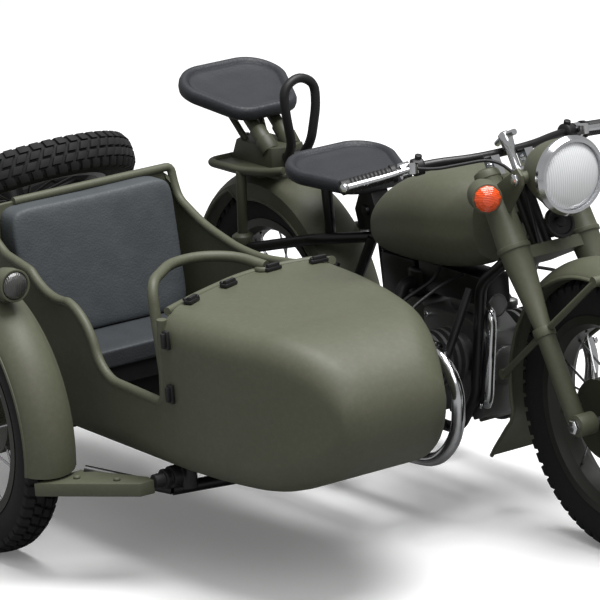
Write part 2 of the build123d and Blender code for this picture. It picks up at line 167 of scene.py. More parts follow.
def areaLamp(name, at, towards, size, power):
    data = bpy.data.lights.new(name, "AREA")
    data.shape, data.size, data.energy = "DISK", size, power
    lamp = bpy.data.objects.new(name, data)
    lamp.location = at
    lamp.rotation_euler = (Vector(towards) - Vector(at)).to_track_quat("-Z", "Y").to_euler()
    bpy.context.scene.collection.objects.link(lamp)


def seenDirectly(tree, lighting, seen):
    # one shader for the rays that light things, another for what the camera sees
    both = tree.nodes.new("ShaderNodeMixShader")
    tree.links.new(tree.nodes.new("ShaderNodeLightPath").outputs["Is Camera Ray"], both.inputs[0])
    tree.links.new(lighting, both.inputs[1])
    tree.links.new(seen, both.inputs[2])
    return both.outputs[0]


def makeStudio():
    scene = bpy.context.scene
    scene.view_settings.view_transform = "Standard"
    world = bpy.data.worlds.new("room")
    scene.world = world
    world.use_nodes = True
    tree = world.node_tree
    tree.nodes.clear()
    dim, white = tree.nodes.new("ShaderNodeBackground"), tree.nodes.new("ShaderNodeBackground")
    dim.inputs["Strength"].default_value = studio["roomLight"]
    dim.inputs["Color"].default_value = (1, 1, 1, 1)
    white.inputs["Color"].default_value = (1, 1, 1, 1)
    out = tree.nodes.new("ShaderNodeOutputWorld")
    tree.links.new(seenDirectly(tree, dim.outputs[0], white.outputs[0]), out.inputs[0])

    half = studio["floorHalf"]
    mesh = bpy.data.meshes.new("floor")
    mesh.from_pydata([(-half, -half, 0), (half, -half, 0), (half, half, 0), (-half, half, 0)], [],
                     [(0, 1, 2, 3)])
    floor = bpy.data.objects.new("floor", mesh)
    scene.collection.objects.link(floor)
    card = Finish("floorCard", Base_Color=colour(*studio["floorTint"]), Roughness=0.8, Specular_IOR_Level=0.1,
                  Emission_Color=colour(255, 255, 255), Emission_Strength=studio["floorLift"])
    dull = card.tree.nodes.new("ShaderNodeBsdfDiffuse")
    dull.inputs["Color"].default_value = colour(*studio["floorBounce"])
    surface = card.tree.nodes["Material Output"].inputs["Surface"]
    card.tree.links.new(seenDirectly(card.tree, dull.outputs[0], card.shader.outputs[0]), surface)
    mesh.materials.append(card.material)

    areaLamp("key", **studio["key"])
    areaLamp("fill", **studio["fill"])


makeCamera()
makeStudio()
print("stage: camera and studio")


# finishes

def oliveFinish():
    # matte military paint: soft mottling, fine orange peel, a little dust on top
    f = Finish("olivePaint", Specular_IOR_Level=0.42)
    mottled = f.mix(f.noise(11 * mm, 4), colour(77, 79, 63), colour(86, 88, 72))
    dusty = f.mix(f.noise(1.2 * mm, 5, 0.7) ** 3.0, mottled, colour(103, 104, 88))
    f.feed("Base Color", dusty)
    f.feed("Roughness", f.noise(3 * mm) * 0.12 + 0.46)
    f.feed("Normal", f.bump(f.noise(0.3 * mm, 3), 0.02 * mm, 0.6))
    return f.material


def plainFinish(name, tint, rough, metal=0.0, grain=0.3, depth=0.01):
    # paint, metal or rubber: slight mottling and a fine grain, its size and depth in mm
    f = Finish(name, Metallic=metal)
    lighter = colour(*(min(255, v * 1.12 + 2) for v in tint))
    f.feed("Base Color", f.mix(f.noise(4 * mm), colour(*tint), lighter))
    f.feed("Roughness", f.noise(2 * mm) * 0.15 + (rough - 0.07))
    f.feed("Normal", f.bump(f.noise(grain * mm), depth * mm, 0.5))
    return f.material


def vinylFinish(name, tint, rough):
    # leathery cells with soft creases
    f = Finish(name, Specular_IOR_Level=0.4)
    cells = f.add("ShaderNodeTexVoronoi", {"feature": "F1"}, {"Vector": f.place, "Scale": 1 / (0.55 * mm)})
    f.feed("Base Color", f.mix(f.noise(6 * mm), colour(*tint), colour(*(v * 1.2 + 4 for v in tint))))
    f.feed("Roughness", cells * 0.18 + rough)
    f.feed("Normal", f.bump(cells * 0.6 + f.noise(5 * mm, 2) * 2.0, 0.12 * mm, 0.55))
    return f.material


def lensFinish(name, tint, direction, pitch, rough=0.08, depth=0.25):
    # pressed glass with fine flutes; its colour is painted 8% darker in each flute's groove, as shade
    f = Finish(name, Coat_Weight=0.8, Coat_Roughness=0.04, Specular_IOR_Level=0.7)
    flutes = f.add("ShaderNodeTexWave", {"bands_direction": direction, "wave_profile": "SIN"},
                   {"Vector": f.place, "Scale": 0.31 / pitch})
    f.feed("Base Color", f.mix(flutes, colour(*(v * 0.92 for v in tint)), colour(*tint)))
    f.feed("Roughness", flutes * 0.1 + rough)
    f.feed("Normal", f.bump(flutes, depth * mm, 0.7))
    return f.material


def wheelFinish(name, hub):
    # bright spokes between a painted hub and drum and a dark painted rim
    f = Finish(name)
    reach = f.add("ShaderNodeVectorMath", {"operation": "DISTANCE"},
                  {0: f.place, 1: tuple(float(v) for v in hub)}, 1)
    beyondDrum = reach.maths("GREATER_THAN", 11.6 * mm)
    onRim = reach.maths("GREATER_THAN", 21.4 * mm)
    outer = f.mix(onRim, colour(196, 197, 199), colour(44, 46, 38))
    f.feed("Base Color", f.mix(beyondDrum, colour(56, 58, 46), outer))
    f.feed("Metallic", beyondDrum * 0.95 - onRim * 0.85)
    f.feed("Roughness", f.noise(2 * mm) * 0.1 + onRim * 0.14 + 0.2)
    f.feed("Normal", f.bump(f.noise(0.4 * mm), 0.01 * mm, 0.4))
    return f.material


finishes = {
    "olive_paint": oliveFinish(),
    "tyre_rubber": plainFinish("tyreRubber", (16, 16, 17), 0.8, grain=0.5, depth=0.05),
    "bright_metal": plainFinish("chrome", (212, 213, 215), 0.13, 1.0),
    "engine_metal": plainFinish("castAlloy", (104, 106, 104), 0.4, 0.7, 0.45, 0.06),
    "black_rubber": plainFinish("blackRubber", (18, 18, 20), 0.5, grain=0.5, depth=0.03),
    "seat_vinyl": vinylFinish("seatVinyl", (64, 68, 71), 0.5),
    "lens_clear": lensFinish("lensClear", (236, 238, 240), "Y", 0.55 * mm, 0.06, 0.06),
    "black_paint": plainFinish("blackPaint", (13, 13, 14), 0.34, grain=0.4),
}
amberLens = lensFinish("lensAmber", (250, 84, 14), "Z", 0.4 * mm, 0.1, 0.08)
# the seat's vinyl copied darker for the cushion: painted shade low in the cockpit
shadedCushionVinyl = vinylFinish("shadedCushionVinyl", (44, 47, 50), 0.52)
# olive paint copied darker for the rear rack: painted shade under the rear saddle
shadedOlivePaint = plainFinish("shadedOlivePaint", (58, 60, 46), 0.5)
greyLens = lensFinish("lensGrey", (66, 67, 65), "Y", 0.5 * mm, 0.1, 0.1)
saddleBlack = vinylFinish("saddleBlack", (40, 41, 45), 0.42)
slotOf = {s["node"]: s["material_slot"] for s in frame["record"]["subparts"]}
slotOf.update(dict.fromkeys(("main_frame", "sidecar_frame", "seat_base"), "black_paint"))
for name, node in nodes.items():
    node.data.materials.clear()
    node.data.materials.append(finishes[slotOf[name]])
for name in ("front", "rear", "sidecar"):
    hub = joints[name + "_wheel_spin"]["pos_m"]
    nodes[name + "_wheel"].data.materials[0] = wheelFinish(name + "WheelMetal", hub)
nodes["spare_wheel"].data.materials[0] = finishes["black_paint"]
print("stage: finishes")


# forms, in mm from the rear axle's point on the floor: x forward, y left, z up

xAxis, yAxis, zAxis = (1, 0, 0), (0, 1, 0), (0, 0, 1)


def unit(vector):
    vector = np.asarray(vector, float)
    return vector / np.linalg.norm(vector)


def sideways(direction):
    # two unit vectors square to a direction
    first = unit(np.cross(direction, zAxis if abs(unit(direction)[2]) < 0.9 else xAxis))
    return first, np.cross(unit(direction), first)


def circlePoints(sides, first, second):
    turn = np.linspace(0, 2 * np.pi, sides, endpoint=False)[:, None]
    return np.cos(turn) * np.asarray(first) + np.sin(turn) * np.asarray(second)


def arc(start, middle, end, count=12):
    # points on the circle through three points
    (ax, ay), (bx, by), (cx, cy) = start, middle, end
    d = 2 * (ax * (by - cy) + bx * (cy - ay) + cx * (ay - by))
    a2, b2, c2 = ax * ax + ay * ay, bx * bx + by * by, cx * cx + cy * cy
    x = (a2 * (by - cy) + b2 * (cy - ay) + c2 * (ay - by)) / d
    y = (a2 * (cx - bx) + b2 * (ax - cx) + c2 * (bx - ax)) / d
    angles = np.unwrap([math.atan2(py - y, px - x) for px, py in (start, middle, end)])
    turn = np.linspace(angles[0], angles[2], count)
    radius = math.hypot(ax - x, ay - y)
    return np.column_stack((x + radius * np.cos(turn), y + radius * np.sin(turn)))


def rounded(points, bend, steps=6):
    # straight runs with each corner eased over a distance
    points = np.asarray(points, float)
    path = [points[0]]
    for before, corner, after in zip(points, points[1:], points[2:]):
        into, out = before - corner, after - corner
        reach = min(bend, 0.48 * np.linalg.norm(into), 0.48 * np.linalg.norm(out))
        a, b = corner + reach * unit(into), corner + reach * unit(out)
        share = np.linspace(0, 1, steps)[:, None]
        path += list((1 - share) ** 2 * a + 2 * share * (1 - share) * corner + share ** 2 * b)
    return np.array([*path, points[-1]])


class Form:
    # gathers rings, turned forms, tubes and blocks into one mesh
    def __init__(self):
        self.points, self.faces, self.count = [], [], 0

    def put(self, points, faces):
        self.faces += [[int(i) + self.count for i in face] for face in faces]
        self.points.append(np.asarray(points, float).reshape(-1, 3))
        self.count += len(self.points[-1])
        return self

    def rings(self, rings, joined=False):
        rings = np.asarray(rings, float)
        n, m = rings.shape[:2]
        i, j = np.meshgrid(np.arange(n if joined else n - 1), np.arange(m), indexing="ij")
        ahead, over = (i + 1) % n * m, (j + 1) % m
        faces = np.stack((i * m + j, i * m + over, ahead + over, ahead + j), -1).reshape(-1, 4).tolist()
        if not joined:
            faces += [list(range(m)), list(range((n - 1) * m, n * m))]
        return self.put(rings, faces)

    def turned(self, start, direction, profile, sides=32):
        # a lathe form: (distance along, radius)
        loop = circlePoints(sides, *sideways(direction))
        start, ahead = np.asarray(start, float), unit(direction)
        return self.rings([start + along * ahead + radius * loop for along, radius in profile])

    def rod(self, start, end, radius, sides=16):
        run = np.subtract(end, start)
        return self.turned(start, run, ((0, radius), (np.linalg.norm(run), radius)), sides)

    def sweep(self, path, radius, sides=14):
        path = np.asarray(path, float)
        first = sideways(path[1] - path[0])[0]
        rings = []
        for spot, heading in zip(path, np.gradient(path, axis=0)):
            ahead = unit(heading)
            first = unit(first - ahead * np.dot(first, ahead))
            rings.append(spot + radius * circlePoints(sides, first, np.cross(ahead, first)))
        return self.rings(rings)

    def tube(self, points, radius, bend=5.0, sides=14):
        return self.sweep(rounded(points, bend), radius, sides)

    def plate(self, outline, place, across, along, thick):
        # a flat outline on a plane, given thickness evenly on both sides
        across, along = unit(across), unit(along)
        flat = np.asarray(place, float) + np.outer([p[0] for p in outline], across) \
            + np.outer([p[1] for p in outline], along)
        half = np.cross(across, along) * thick / 2
        return self.rings([flat - half, flat + half])

    def block(self, middle, size, turn=0.0):
        c, s = math.cos(math.radians(turn)), math.sin(math.radians(turn))
        w, d = size[0] / 2, size[1] / 2
        return self.plate(((-w, -d), (w, -d), (w, d), (-w, d)), middle, (c, s, 0), (-s, c, 0), size[2])


def meshItem(name, form):
    # a form as an object in the scene, its faces turned outwards
    mesh = bpy.data.meshes.new(name)
    mesh.from_pydata((np.vstack(form.points) * mm + axleLine).tolist(), [], form.faces)
    shell = bmesh.new()
    shell.from_mesh(mesh)
    bmesh.ops.recalc_face_normals(shell, faces=shell.faces)
    shell.to_mesh(mesh)
    shell.free()
    item = bpy.data.objects.new(name, mesh)
    bpy.context.scene.collection.objects.link(item)
    return item


def settle(item, sharp):
    # bakes the modifiers into the mesh and shades it smooth between sharp edges
    if item.modifiers:
        baked = bpy.data.meshes.new_from_object(item.evaluated_get(bpy.context.evaluated_depsgraph_get()))
        item.modifiers.clear()
        item.data = baked
    item.data.polygons.foreach_set("use_smooth", np.ones(len(item.data.polygons), bool))
    item.data.set_sharp_from_angle(angle=math.radians(sharp))


def dress(item, slot, finish=None, replaced=None, body="outfit"):
    # finish, slot and body of a piece, and the CAD node that it stands for
    item.data.materials.clear()
    item.data.materials.append(finish or finishes[slot])
    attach(item, body)
    if replaced:
        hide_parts(replaced)


def makePiece(name, form, slot, finish=None, bevel=0, sharp=40, replaced=None, body="outfit"):
    # one named piece from a form; bevel is the edges' width in mm
    item = meshItem(name, form)
    if bevel:
        edge = item.modifiers.new("edge", "BEVEL")
        edge.width, edge.segments = bevel * mm, 2
        edge.limit_method, edge.angle_limit = "ANGLE", math.radians(35)
    settle(item, sharp)
    dress(item, slot, finish, replaced, body)
    return item


# the model's own lines, from the frame's joints

def fromAxle(metres):
    return (np.asarray(metres, float) - axleLine) / mm


frontHub = fromAxle(joints["front_wheel_spin"]["pos_m"])
sideHub = fromAxle(joints["sidecar_wheel_spin"]["pos_m"])
rearHub = fromAxle(joints["rear_wheel_spin"]["pos_m"])
tyreRadius = rearHub[2]
steerUp = unit(joints["steering_turn"]["axis"])
steerOut = np.array([steerUp[2], 0, -steerUp[0]])
fork = {
    "legAhead": 3.2,  # mm ahead of the steering axis
    "axleAhead": 5.7,
    "half": 10.4,  # each leg's distance to its side
    "lowYoke": 44,  # up the steering axis
    "topYoke": 63,
    "indicator": 3.75,  # radius of its housing
}
legX, axleReach, forkHalf, yokeLow, yokeTop, indicatorRadius = fork.values()
steerFoot = frontHub - axleReach * steerOut
leanAngle = math.atan2(-steerUp[0], steerUp[2])
sidecar = {
    "middle": -63,  # mm, y of its middle line
    "half": 29,  # half its width
    "floor": 28.8,
    "deck": 69.6,
    "nose": 146.5,
    "tail": -54,
    "seatWall": 4,  # x of the cockpit's rear edge
    "coaming": 75.8,  # x of the cockpit's front edge
}
bodyY, bodyHalf, bodyFloor, deckZ, noseX, tailX, backX, coamingX = sidecar.values()
farY, nearY = bodyY + bodyHalf, bodyY - bodyHalf
guardRadius = tyreRadius + 4.3


def steered(x, y, z):
    # a point across, left of and along the steering axis
    return steerFoot + x * steerOut + np.array([0, y, 0]) + z * steerUp


def around(hub, angle, radius, y=0):
    # a point over a wheel, its angle from straight ahead
    turn = math.radians(angle)
    return np.asarray(hub) + np.array([radius * math.cos(turn), y, radius * math.sin(turn)])


# tyres with blocks of tread

tread = {
    "lugs": 58,  # rows round the tyre
    "lugDepth": 1,  # mm
    "lugGap": 0.32,  # share of each row left open
}


def tyrePiece(name, hub, axle, body):
    # carcass turned about the axle, then blocks in a staggered pattern
    hub, axle = np.asarray(hub, float), unit(axle)
    first, second = sideways(axle)
    depth = tread["lugDepth"]
    crown = tyreRadius - depth
    flank = [(3.5, 24.05), (3.9, 25.2), (4.6, 27), (5, 29), (4.75, 31.2), (4, crown - 0.9),
             (2.6, crown - 0.25)]
    section = [(-y, r) for y, r in flank] + [(0, crown)] + flank[::-1]
    turn = np.linspace(0, 2 * np.pi, 96, endpoint=False)
    spin = np.cos(turn)[:, None] * first + np.sin(turn)[:, None] * second
    form = Form()
    form.rings([[hub + y * axle + r * ray for y, r in section] for ray in spin], joined=True)
    step = 2 * np.pi / tread["lugs"]
    solid = 1 - tread["lugGap"]
    columns = (  # from y, to y, height at each, slant, stagger
        (0.35, 2.35, crown - 0.15, crown - 0.35, 0.28, 0),
        (-2.35, -0.35, crown - 0.35, crown - 0.15, 0.28, 0.5),
        (2.8, 4.75, crown - 0.45, crown - 1.7, -0.12, 0.5),
        (-4.75, -2.8, crown - 1.7, crown - 0.45, -0.12, 0),
    )
    for y0, y1, r0, r1, slant, stagger in columns:
        start = (np.arange(tread["lugs"]) + stagger)[:, None] * step
        corner = np.array([0, solid, solid + slant, slant]) * step
        angles = start + corner
        side = np.array([y0, y0, y1, y1])
        low = np.array([r0, r0, r1, r1])
        rays = np.cos(angles)[..., None] * first + np.sin(angles)[..., None] * second
        floor = hub + side[:, None] * axle + (low - 0.5)[:, None] * rays
        top = hub + side[:, None] * axle + (low + depth)[:, None] * rays
        cube = np.array([(0, 1, 5, 4), (1, 2, 6, 5), (2, 3, 7, 6), (3, 0, 4, 7), (4, 5, 6, 7)])
        faces = (np.arange(tread["lugs"])[:, None, None] * 8 + cube).reshape(-1, 4)
        form.put(np.concatenate((floor, top), 1), faces)
    makePiece(name + "Tyre", form, "tyre_rubber", bevel=0.12, sharp=30, replaced=name + "_tyre", body=body)


spareTilt = math.radians(25)
tyrePiece("front", frontHub, yAxis, "front_wheel_body")
tyrePiece("rear", rearHub, yAxis, "rear_wheel_body")
tyrePiece("sidecar", sideHub, yAxis, "sidecar_wheel_body")
tyrePiece("spare", (-33, bodyY, 74.6), (-math.sin(spareTilt), 0, math.cos(spareTilt)), "outfit")
print("tyres")


# sidecar body: an outer form less an inner one, less the cockpit

def joinedLine(*parts):
    # runs of points end to end, a point shared by two runs kept once
    line = np.vstack([np.asarray(p, float) for p in parts])
    return line[np.append(True, np.linalg.norm(np.diff(line, axis=0), axis=1) > 1e-6)]


tailDeck = (deckZ + 6.7 - 10.9 * math.cos(spareTilt), -33 + 10.9 * math.sin(spareTilt))


def tailHeight(x, inset):
    height, seat = tailDeck
    return height - inset / math.cos(spareTilt) + (x - seat) * math.tan(spareTilt)


def easedEnd(start, end):
    # a quarter of an ellipse, level at its start and upright at its end
    turn = np.linspace(0, np.pi / 2, 30)[:, None]
    (x0, z0), (x1, z1) = start, end
    return np.hstack((x0 + (x1 - x0) * np.sin(turn), z1 + (z0 - z1) * np.cos(turn)))


def boat(inset, corner, first=None):
    # sections along x: rounded rectangles between the side outline and the plan outline
    floor, deck, part = bodyFloor + inset, deckZ - inset, 0.7 * inset
    nose, tail = noseX - inset, tailX + inset
    low = joinedLine(arc((tail, bodyFloor + 11), (tail + 3 + part, floor + 3), (tail + 10, floor)),
                     easedEnd((noseX - 30, floor), (nose, bodyFloor + 21)))
    high = joinedLine(arc((tail, bodyFloor + 11), (tail, bodyFloor + 16),
                          (tail + 6, tailHeight(tail + 6, inset))),
                      [(backX, tailHeight(backX, inset)), (28, deck + 2.5), (62, deck + 1)],
                      easedEnd((noseX - 26.5, deck - 1.5), (nose, bodyFloor + 21)))
    plan = joinedLine(arc((tailX - 1, 20), (tailX + 14, 26.5), (tailX + 36, bodyHalf)),
                      arc((noseX - 62.5, bodyHalf), (noseX - 28.5, 25), (noseX + 1, 13), 30))
    plan[:, 1] -= inset
    end = 1 - np.cos(np.linspace(0, np.pi / 2, 34))
    stations = np.concatenate((tail + 12 * end, np.linspace(tail + 14, noseX - 64, 18),
                               nose - 60 * (1 - np.cos(np.linspace(np.pi / 2, 0.02, 60)))))
    if first is not None:
        stations = np.concatenate(([first], stations[stations > first + 0.5]))
    rings = []
    for x in stations:
        z0, z1 = np.interp(x, low[:, 0], low[:, 1]), np.interp(x, high[:, 0], high[:, 1])
        tall = max((z1 - z0) / 2, 0.05)
        wide = np.interp(x, plan[:, 0], plan[:, 1]) - 0.75 * max(0, corner - tall)
        r = min(corner, 0.96 * tall, 0.96 * wide)
        turn = np.linspace(0, np.pi / 2, 9)
        corners = []
        for i, (sy, sz) in enumerate(((1, 1), (-1, 1), (-1, -1), (1, -1))):
            a = turn + i * np.pi / 2
            y, z = bodyY + sy * (wide - r), (z0 + z1) / 2 + sz * (tall - r)
            corners.append(np.column_stack((np.full(9, x), y + r * np.cos(a), z + r * np.sin(a))))
        flats = [np.linspace(a[-1], b[0], 8)[1:-1] for a, b in zip(corners, corners[1:] + corners[:1])]
        rings.append(np.vstack([part for pair in zip(corners, flats) for part in pair]))
    return Form().rings(rings)


# the cockpit's edge: x and height on the near and far sides, x and y over the front
nearRim = joinedLine(
    [(backX, 10.9), (backX + 3, 5.5), (14, 1.2)],
    arc((26.5, -1), (32, -4.5), (44, -5.9)),
    arc((44, -5.9), (51.5, -9.8), (55.5, -16)),
    arc((55.5, -16), (59.5, -20.8), (66, -22.7)),
    [(coamingX + 9.8, -23.4), (coamingX + 11.6, -22), (coamingX + 13.4, -2)]) + (0, deckZ)
farRim = np.add((0, deckZ), [
    (backX, 10.9), (backX + 2.6, 3.3), (18.2, -1.9), (33.9, -5.4), (46, -6.2), (62, -4.8),
    (coamingX + 2.6, -1)])
coaming = joinedLine(arc((12.8, -26), (8.4, -17), (3.4, -5)),
                     arc((3.4, -5), (0, 9), (2.6, 26))) + (coamingX, bodyY)


def makeBody():
    shape = meshItem("sidecarBody", boat(0, 7))
    opening = joinedLine([(backX, nearY + 3)], coaming, [(backX, farY - 3)])
    topSide = joinedLine(nearRim, [(coamingX + 13.4, deckZ + 30), (backX, deckZ + 30)])
    farSide = joinedLine(farRim, [(coamingX + 2.6, deckZ + 30), (backX, deckZ + 30)])
    tools = (
        boat(1.2, 5.8, backX),
        Form().plate(opening, (0, 0, bodyFloor + 54), xAxis, yAxis, 60),
        Form().plate(topSide, (0, nearY - 3.5, 0), xAxis, zAxis, 13),
        Form().plate(farSide, (0, farY + 3.5, 0), xAxis, zAxis, 13),
    )
    blades = [meshItem(f"blade{i}", tool) for i, tool in enumerate(tools)]
    for blade in blades:
        cut = shape.modifiers.new(blade.name, "BOOLEAN")
        cut.operation, cut.solver, cut.object = "DIFFERENCE", "EXACT", blade
    settle(shape, 38)
    for blade in blades:
        bpy.data.objects.remove(blade)
    dress(shape, "olive_paint", replaced="sidecar_body")


makeBody()
rim = Form()
rim.sweep(rounded([(x, nearY + 0.9, z) for x, z in nearRim], 1.5, 3), 1.25, 12)
rim.sweep([(x, y, deckZ + 0.6 - (x - 62) * 0.043) for x, y in coaming], 1, 12)
backEdge = [(backX, bodyY - 19, deckZ + 11.5), (backX, farY - 1, deckZ + 11.5),
            (backX + 0.6, farY - 0.9, deckZ + 8)]
rim.sweep(rounded(backEdge + [(x, farY - 0.9, z) for x, z in farRim[1:]], 5, 5), 1.15, 12)
makePiece("cockpitRim", rim, "olive_paint")

# black sheets on the footwell's floor, its far and front walls and under the seat's front: painted shade deep in
# the cockpit
footwellShade = Form()
footwellShade.block(((35 + coamingX + 14) / 2, bodyY, bodyFloor + 1.9), (coamingX - 21, 2 * bodyHalf - 11, 0.8))
footwellShade.plate(((35, bodyFloor + 6), (35, 41), (60, 43), (coamingX + 14, 43), (coamingX + 14, bodyFloor + 6)),
             (0, farY - 2, 0), xAxis, zAxis, 0.8)
footwellShade.block((19, bodyY, 38.6), (27, 45, 5))
footwellShade.plate(((-24, bodyFloor + 6), (24, bodyFloor + 6), (24, 62), (-24, 62)), (coamingX + 15, bodyY, 0),
             yAxis, zAxis, 0.8)
makePiece("footwellShadeSheets", footwellShade, "black_rubber")
print("sidecar body")


# padded seat of the sidecar

seat = {
    "back": {"middle": (9.1, bodyY, 63.2), "size": (8.6, 47.6, 34.8), "lean": -0.115},  # mm
    # the cushion takes the darker copy of the vinyl, as painted shade
    "cushion": {"middle": (19, bodyY, 43.2), "size": (5.4, 47.6, 29.4), "laid": True, "finish": shadedCushionVinyl},
    "roundness": 0.2,  # 1 for an egg, nearer 0 for a block
    "crown": 0.1,  # shares of the pad's size
    "drawnIn": 0.025,
    "ripple": 0.012,
    "pipingHalf": 22.6,
    "piping": 0.3,  # radius
}


def crownedPad(name, node, middle, size, lean=0, laid=False, finish=None):
    # a rounded block, crowned, its sides drawn in; it stands facing forward or is laid down
    def power(value):
        return np.sign(value) * np.abs(value) ** seat["roundness"]

    u = np.linspace(-np.pi, np.pi, 96, endpoint=False)
    v = np.linspace(-np.pi / 2, np.pi / 2, 50)[1:-1]
    round1, level = power(np.cos(v))[:, None], power(np.sin(v))
    x, y = round1 * power(np.cos(u)), round1 * power(np.sin(u))
    z = np.repeat(level[:, None], len(u), 1)
    draw = 1 - seat["drawnIn"] * np.cos(y * np.pi / 2)
    crown = 1 + seat["crown"] * np.cos(y * np.pi / 2) * np.cos(z * np.pi / 2)
    ripple = seat["ripple"] * np.sin(7 * y + 2.1) * np.sin(5 * z + 0.7)
    points = np.stack((x * size[0] / 2 * (crown + ripple), y * size[1] / 2, z * size[2] / 2 * draw), -1)
    points[..., 0] += lean * points[..., 2]
    if laid:
        points = points[..., [2, 1, 0]] * (-1, 1, 1)
    form = Form().rings(points + np.asarray(middle))
    pad = makePiece(name, form, "seat_vinyl", finish, sharp=60, replaced=node)


crownedPad("seatBackPad", "seat_back", **seat["back"])
crownedPad("seatCushionPad", "seat_cushion", **seat["cushion"])
piping = Form()
for (x0, z0), (x1, z1) in (((13.6, 49.4), (10.2, 79)), ((5, 44.9), (32.6, 44.9))):
    y0, y1 = bodyY - seat["pipingHalf"], bodyY + seat["pipingHalf"]
    piping.sweep(rounded([(x0, y0, z0), (x1, y0, z1), (x1, y1, z1), (x0, y1, z0)], 3), seat["piping"], 8)
makePiece("seatPiping", piping, "seat_vinyl", sharp=60)


# saddles: broad dished pans with a rolled lip

saddles = {
    "front": {"at": (36.3, 0, 80.1), "slope": 8},
    "rear": {"at": (-13.9, 0, 93.9), "slope": 17},
}
saddleCircles = ((-4.5, 5.6, 10), (-4.5, -5.6, 10), (7.6, 4.2, 6.9), (7.6, -4.2, 6.9))  # x, y, radius
saddleLip = (  # in from the edge, height
    (3.2, -3.9), (1, -3.85), (0.25, -3.3), (0, -2.3), (0.05, -1.2), (0.4, -0.35), (1.1, 0.1),
    (1.9, 0), (2.3, -0.5), (2.7, -0.85), (3, -0.6), (4, -0.75), (5.4, -0.95), (6.8, -1.05))
saddleSag = 0.5  # mm


def onSaddle(which, x, y, z):
    turn = math.radians(saddles[which]["slope"])
    return np.add(saddles[which]["at"], (x * math.cos(turn) + z * math.sin(turn), y,
                                         z * math.cos(turn) - x * math.sin(turn)))


def saddleRing(which, shrink, height):
    ring = []
    for angle in np.linspace(0, 2 * np.pi, 96, endpoint=False) + 0.01:
        out = np.array([math.cos(angle), math.sin(angle)])
        best = max(saddleCircles, key=lambda c: c[0] * out[0] + c[1] * out[1] + c[2])
        x, y = np.array(best[:2]) + (best[2] - shrink) * out
        ring.append(onSaddle(which, x, y, height + saddleSag * (x / 14) ** 2))
    return ring


for which in saddles:
    form = Form().rings([saddleRing(which, *step) for step in saddleLip])
    pad = makePiece(which + "SaddlePad", form, "black_rubber", saddleBlack, sharp=60,
                    replaced=which + "_saddle")
print("seats")


# what carries the saddles, the rack and the grab loop

cluster = {"x": 46, "z": 62, "tube": 1.65}  # mm, where the frame's tubes meet below the front saddle
clusterX, clusterZ, topRadius = cluster.values()
rackSize = {
    "height": tyreRadius + 40.25,  # mm
    "half": 12,
    "back": -15.5,
    "plungers": tyreRadius + 21.5,  # height of their caps
    "post": 4.6,  # above the rack
    "loopX": 14,
    "loopHalf": 4.8,
    "loop": 24.6,  # above the rack
}
rackZ, rackHalf, rackBack, plungerHigh, postRise, loopX, loopHalf, loopRise = rackSize.values()
postTop, loopTop = rackZ + postRise, rackZ + loopRise


def sided(points, side):
    # a run of points as it is on the left, or mirrored to the right
    return [(x, side * y, z) for x, y, z in points]


def acrossMiddle(run, *between):
    # a run's mirror image from its end, what lies between, then the run
    return [*sided(run[::-1], -1), *between, *run]


carrier, chrome, rack, loop = Form(), Form(), Form(), Form()
nose = onSaddle("front", 11, 0, -3.2)
carrier.plate(((clusterX - 4.5, clusterZ + topRadius), (clusterX + 2, clusterZ + topRadius + 0.9),
               (clusterX + 4, clusterZ + 8), (nose[0] + 1.5, nose[2] - 0.2), (nose[0] - 3, nose[2] + 0.2),
               (clusterX - 6, clusterZ + 7)), (0, 0, 0), xAxis, zAxis, 5.2)
carrier.rod((clusterX - 0.5, -3.4, clusterZ + 7.4), (clusterX - 0.5, 3.4, clusterZ + 7.4), 1.5)
for side in (1, -1):
    foot, top = (33, side * 6, clusterZ + 0.2), onSaddle("front", -3, side * 6, -3.9)
    carrier.rod(foot, top, 1.5)
    carrier.rod(top - (0, 0, 1), top + (0, 0, 0.4), 2.2)
makePiece("frontSaddleCarrier", carrier, "black_paint", bevel=0.25, replaced="saddle_bracket")

rack.tube(acrossMiddle([(rackBack, -rackHalf, rackZ), (1, -rackHalf, rackZ), (14, -rackHalf, rackZ + 1.6),
                        (19, 2 - rackHalf, rackZ + 2.4)]), 1.1, 3.5)
rack.block((-3.5, 0, rackZ - 0.4), (25, 2 * rackHalf - 1.6, 1.2))
for side in (1, -1):
    rack.rod((0, side * 12.5, plungerHigh), (1, side * rackHalf, rackZ), 1.4)
    rack.turned((0, side * 12.5, plungerHigh - 1), zAxis, ((0, 2.9), (2.2, 2.9), (3, 1.8)))
    rack.block((13, side * (rackHalf - 3), rackZ + 0.4), (9, 4, 1))
low, high = [], []
for bow, shift in ((arc((6, 5.5), (8, 0), (6, -5.5), 9), -0.4),
                   (arc((-14, -5.5), (-16, 0), (-14, 5.5), 9), 2.4)):
    for x, y in bow:
        low.append((x, y, rackZ))
        high.append((x + shift, y * 0.9, postTop + 0.8))
rack.rings([low, high])
hinge = onSaddle("rear", 8.5, 0, -4.5)
for side in (1, -1):
    rack.tube([(hinge[0] + 2, side * 3.6, hinge[2]), (hinge[0] - 3, side * 4.6, hinge[2] + 0.3),
               onSaddle("rear", -7, side * 6.5, -4.2)], 1, 3)
    rack.rod((-9, side * 2.8, postTop - 0.6), onSaddle("rear", -3, side * 5.4, -3.6), 0.9)
    post = np.array([3, side * 3.4, postTop])
    knee = np.array([hinge[0] + 0.5, side * 3.6, hinge[2] - 0.6])
    for share, radius in ((1, 1.7), (0.62, 2.3), (0.3, 2.6)):
        rack.rod(post - (0, 0, 0.8), post + share * (knee - post), radius)
rack.rod((hinge[0] + 2, -4, hinge[2]), (hinge[0] + 2, 4, hinge[2]), 1.1)
chrome.turned((-14.6, 0, postTop - 0.3), zAxis, ((0, 1.5), (1, 1.5), (1.5, 0.9)), 6)
